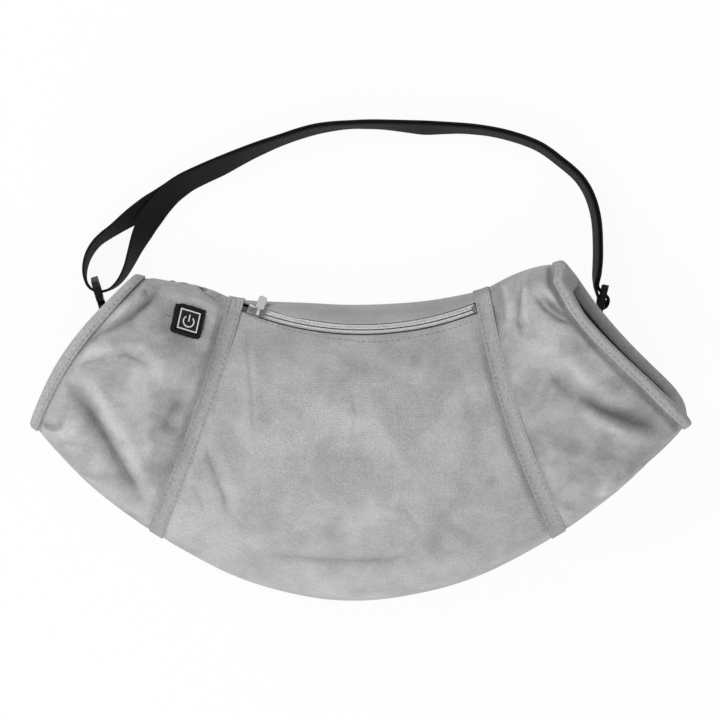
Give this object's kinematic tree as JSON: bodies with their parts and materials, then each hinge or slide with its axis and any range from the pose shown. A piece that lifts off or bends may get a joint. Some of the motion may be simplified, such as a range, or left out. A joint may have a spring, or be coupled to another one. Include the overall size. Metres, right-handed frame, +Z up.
{
  "type": "heated hand muff",
  "caption": "Plush tube-shaped heated hand muff lying on its back, with a zipped front pocket, a push switch and a webbing strap held by swivel snap hooks.",
  "frame": {"origin": "centre of the footprint of the whole part, on the surface that the muff's back lies on", "axes": "+X from the left rim to the right rim, +Y from the muff's bottom edge towards the strap, +Z up from the back to the front"},
  "size_m": [0.4318, 0.3158, 0.07],
  "materials": {
    "plush": "short silver-grey plush pile",
    "knit": "smooth grey velour on the pocket",
    "facing": "plush above the zip, in shade",
    "trim": "woven grey tape with two rows of stitches",
    "black_webbing": "black ribbed polyester webbing",
    "black_plastic": "black moulded acetal",
    "nickel": "dull nickel plate",
    "pale_metal": "pale grey lacquer",
    "wadding": "white polyester wadding",
    "heater_film": "carbon film between polyester sheets",
    "board_green": "printed circuit board"
  },
  "bodies": {
    "muff": {"back_panel": "plush", "left_front_panel": "plush", "right_front_panel": "plush", "pocket_panel": "knit", "top_facing": "facing", "pocket_backing": "knit", "front_wadding": "wadding", "back_wadding": "wadding", "left_front_lining": "plush", "left_back_lining": "plush", "middle_front_lining": "plush", "middle_back_lining": "plush", "right_front_lining": "plush", "right_back_lining": "plush", "heating_pad": "heater_film", "heater_lead": "black_plastic", "left_seam_tape": "trim", "right_seam_tape": "trim", "left_rim_binding": "trim", "right_rim_binding": "trim", "zip_upper_tape": "trim", "zip_lower_tape": "trim", "zip_upper_teeth": "trim", "zip_lower_teeth": "trim", "zip_closed_stop": "nickel", "zip_open_stop": "nickel", "switch_patch": "black_webbing", "switch_housing": "black_plastic", "circuit_board": "board_green", "switch_dome": "nickel", "lead_eyelet": "nickel", "left_ring_tab": "black_webbing", "right_ring_tab": "black_webbing"},
    "slider": {"zip_slider": "nickel"},
    "pull": {"zip_pull": "pale_metal"},
    "button": {"switch_button": "black_plastic"},
    "left_d_ring": {"left_ring": "black_plastic"},
    "right_d_ring": {"right_ring": "black_plastic"},
    "strap": {"strap_webbing": "black_webbing", "strap_adjuster": "black_plastic", "left_swivel_eye": "black_plastic", "right_swivel_eye": "black_plastic"},
    "left_snap_hook": {"left_hook": "black_plastic", "left_gate_pin": "nickel"},
    "left_gate": {"left_hook_gate": "black_plastic"},
    "right_snap_hook": {"right_hook": "black_plastic", "right_gate_pin": "nickel"},
    "right_gate": {"right_hook_gate": "black_plastic"}
  },
  "joints": [
    {"name": "zip_slide", "type": "hinge", "parent": "muff", "child": "slider", "pos_m": [0.00096, 0.22328, 0.03765], "axis": [0, 0, 1], "range_deg": [0, 38.8]},
    {"name": "pull_flip", "type": "hinge", "parent": "slider", "child": "pull", "pos_m": [-0.06679, 0.031, 0.04175], "axis": [0.9432, -0.3323, 0], "range_deg": [0, 200]},
    {"name": "button_press", "type": "slide", "parent": "muff", "child": "button", "axis": [-0.3389, -0.2076, -0.9176], "range_m": [0, 0.0008], "stiffness_N_per_m": 900, "springref_m": -0.0005},
    {"name": "strap_swing", "type": "hinge", "parent": "muff", "child": "strap", "pos_m": [-0.16154, 0.00811, 0.00845], "axis": [0.9973, -0.0739, 0], "range_deg": [-120, 0]},
    {"name": "left_ring_turn", "type": "hinge", "parent": "muff", "child": "left_d_ring", "pos_m": [-0.16154, 0.00811, 0.00845], "axis": [0.9973, -0.0739, 0], "range_deg": [-120, 0]},
    {"name": "right_ring_turn", "type": "hinge", "parent": "muff", "child": "right_d_ring", "pos_m": [0.17196, -0.01659, 0.00845], "axis": [0.9973, -0.0739, 0], "range_deg": [-120, 0]},
    {"name": "left_hook_swivel", "type": "hinge", "parent": "strap", "child": "left_snap_hook", "pos_m": [-0.16994, 0.0365, 0.0123], "axis": [-0.2781, 0.9389, 0.2028], "range_deg": [-20, 20]},
    {"name": "right_hook_swivel", "type": "hinge", "parent": "strap", "child": "right_snap_hook", "pos_m": [0.15802, 0.00964, 0.01175], "axis": [-0.4623, 0.8695, 0.1737], "range_deg": [-20, 20]},
    {"name": "left_gate_open", "type": "hinge", "parent": "left_snap_hook", "child": "left_gate", "pos_m": [-0.16926, 0.03418, 0.0067], "axis": [-0.9588, -0.284, 0], "range_deg": [0, 30], "stiffness_Nm_per_rad": 0.01, "springref_deg": -17.19},
    {"name": "right_gate_open", "type": "hinge", "parent": "right_snap_hook", "child": "right_gate", "pos_m": [0.15923, 0.00737, 0.00622], "axis": [-0.8829, -0.4695, 0], "range_deg": [0, 30], "stiffness_Nm_per_rad": 0.01, "springref_deg": -17.19}
  ],
  "couplings": [
    {"joint": "left_ring_turn", "follows": "strap_swing", "ratio": 1},
    {"joint": "right_ring_turn", "follows": "strap_swing", "ratio": 1}
  ]
}
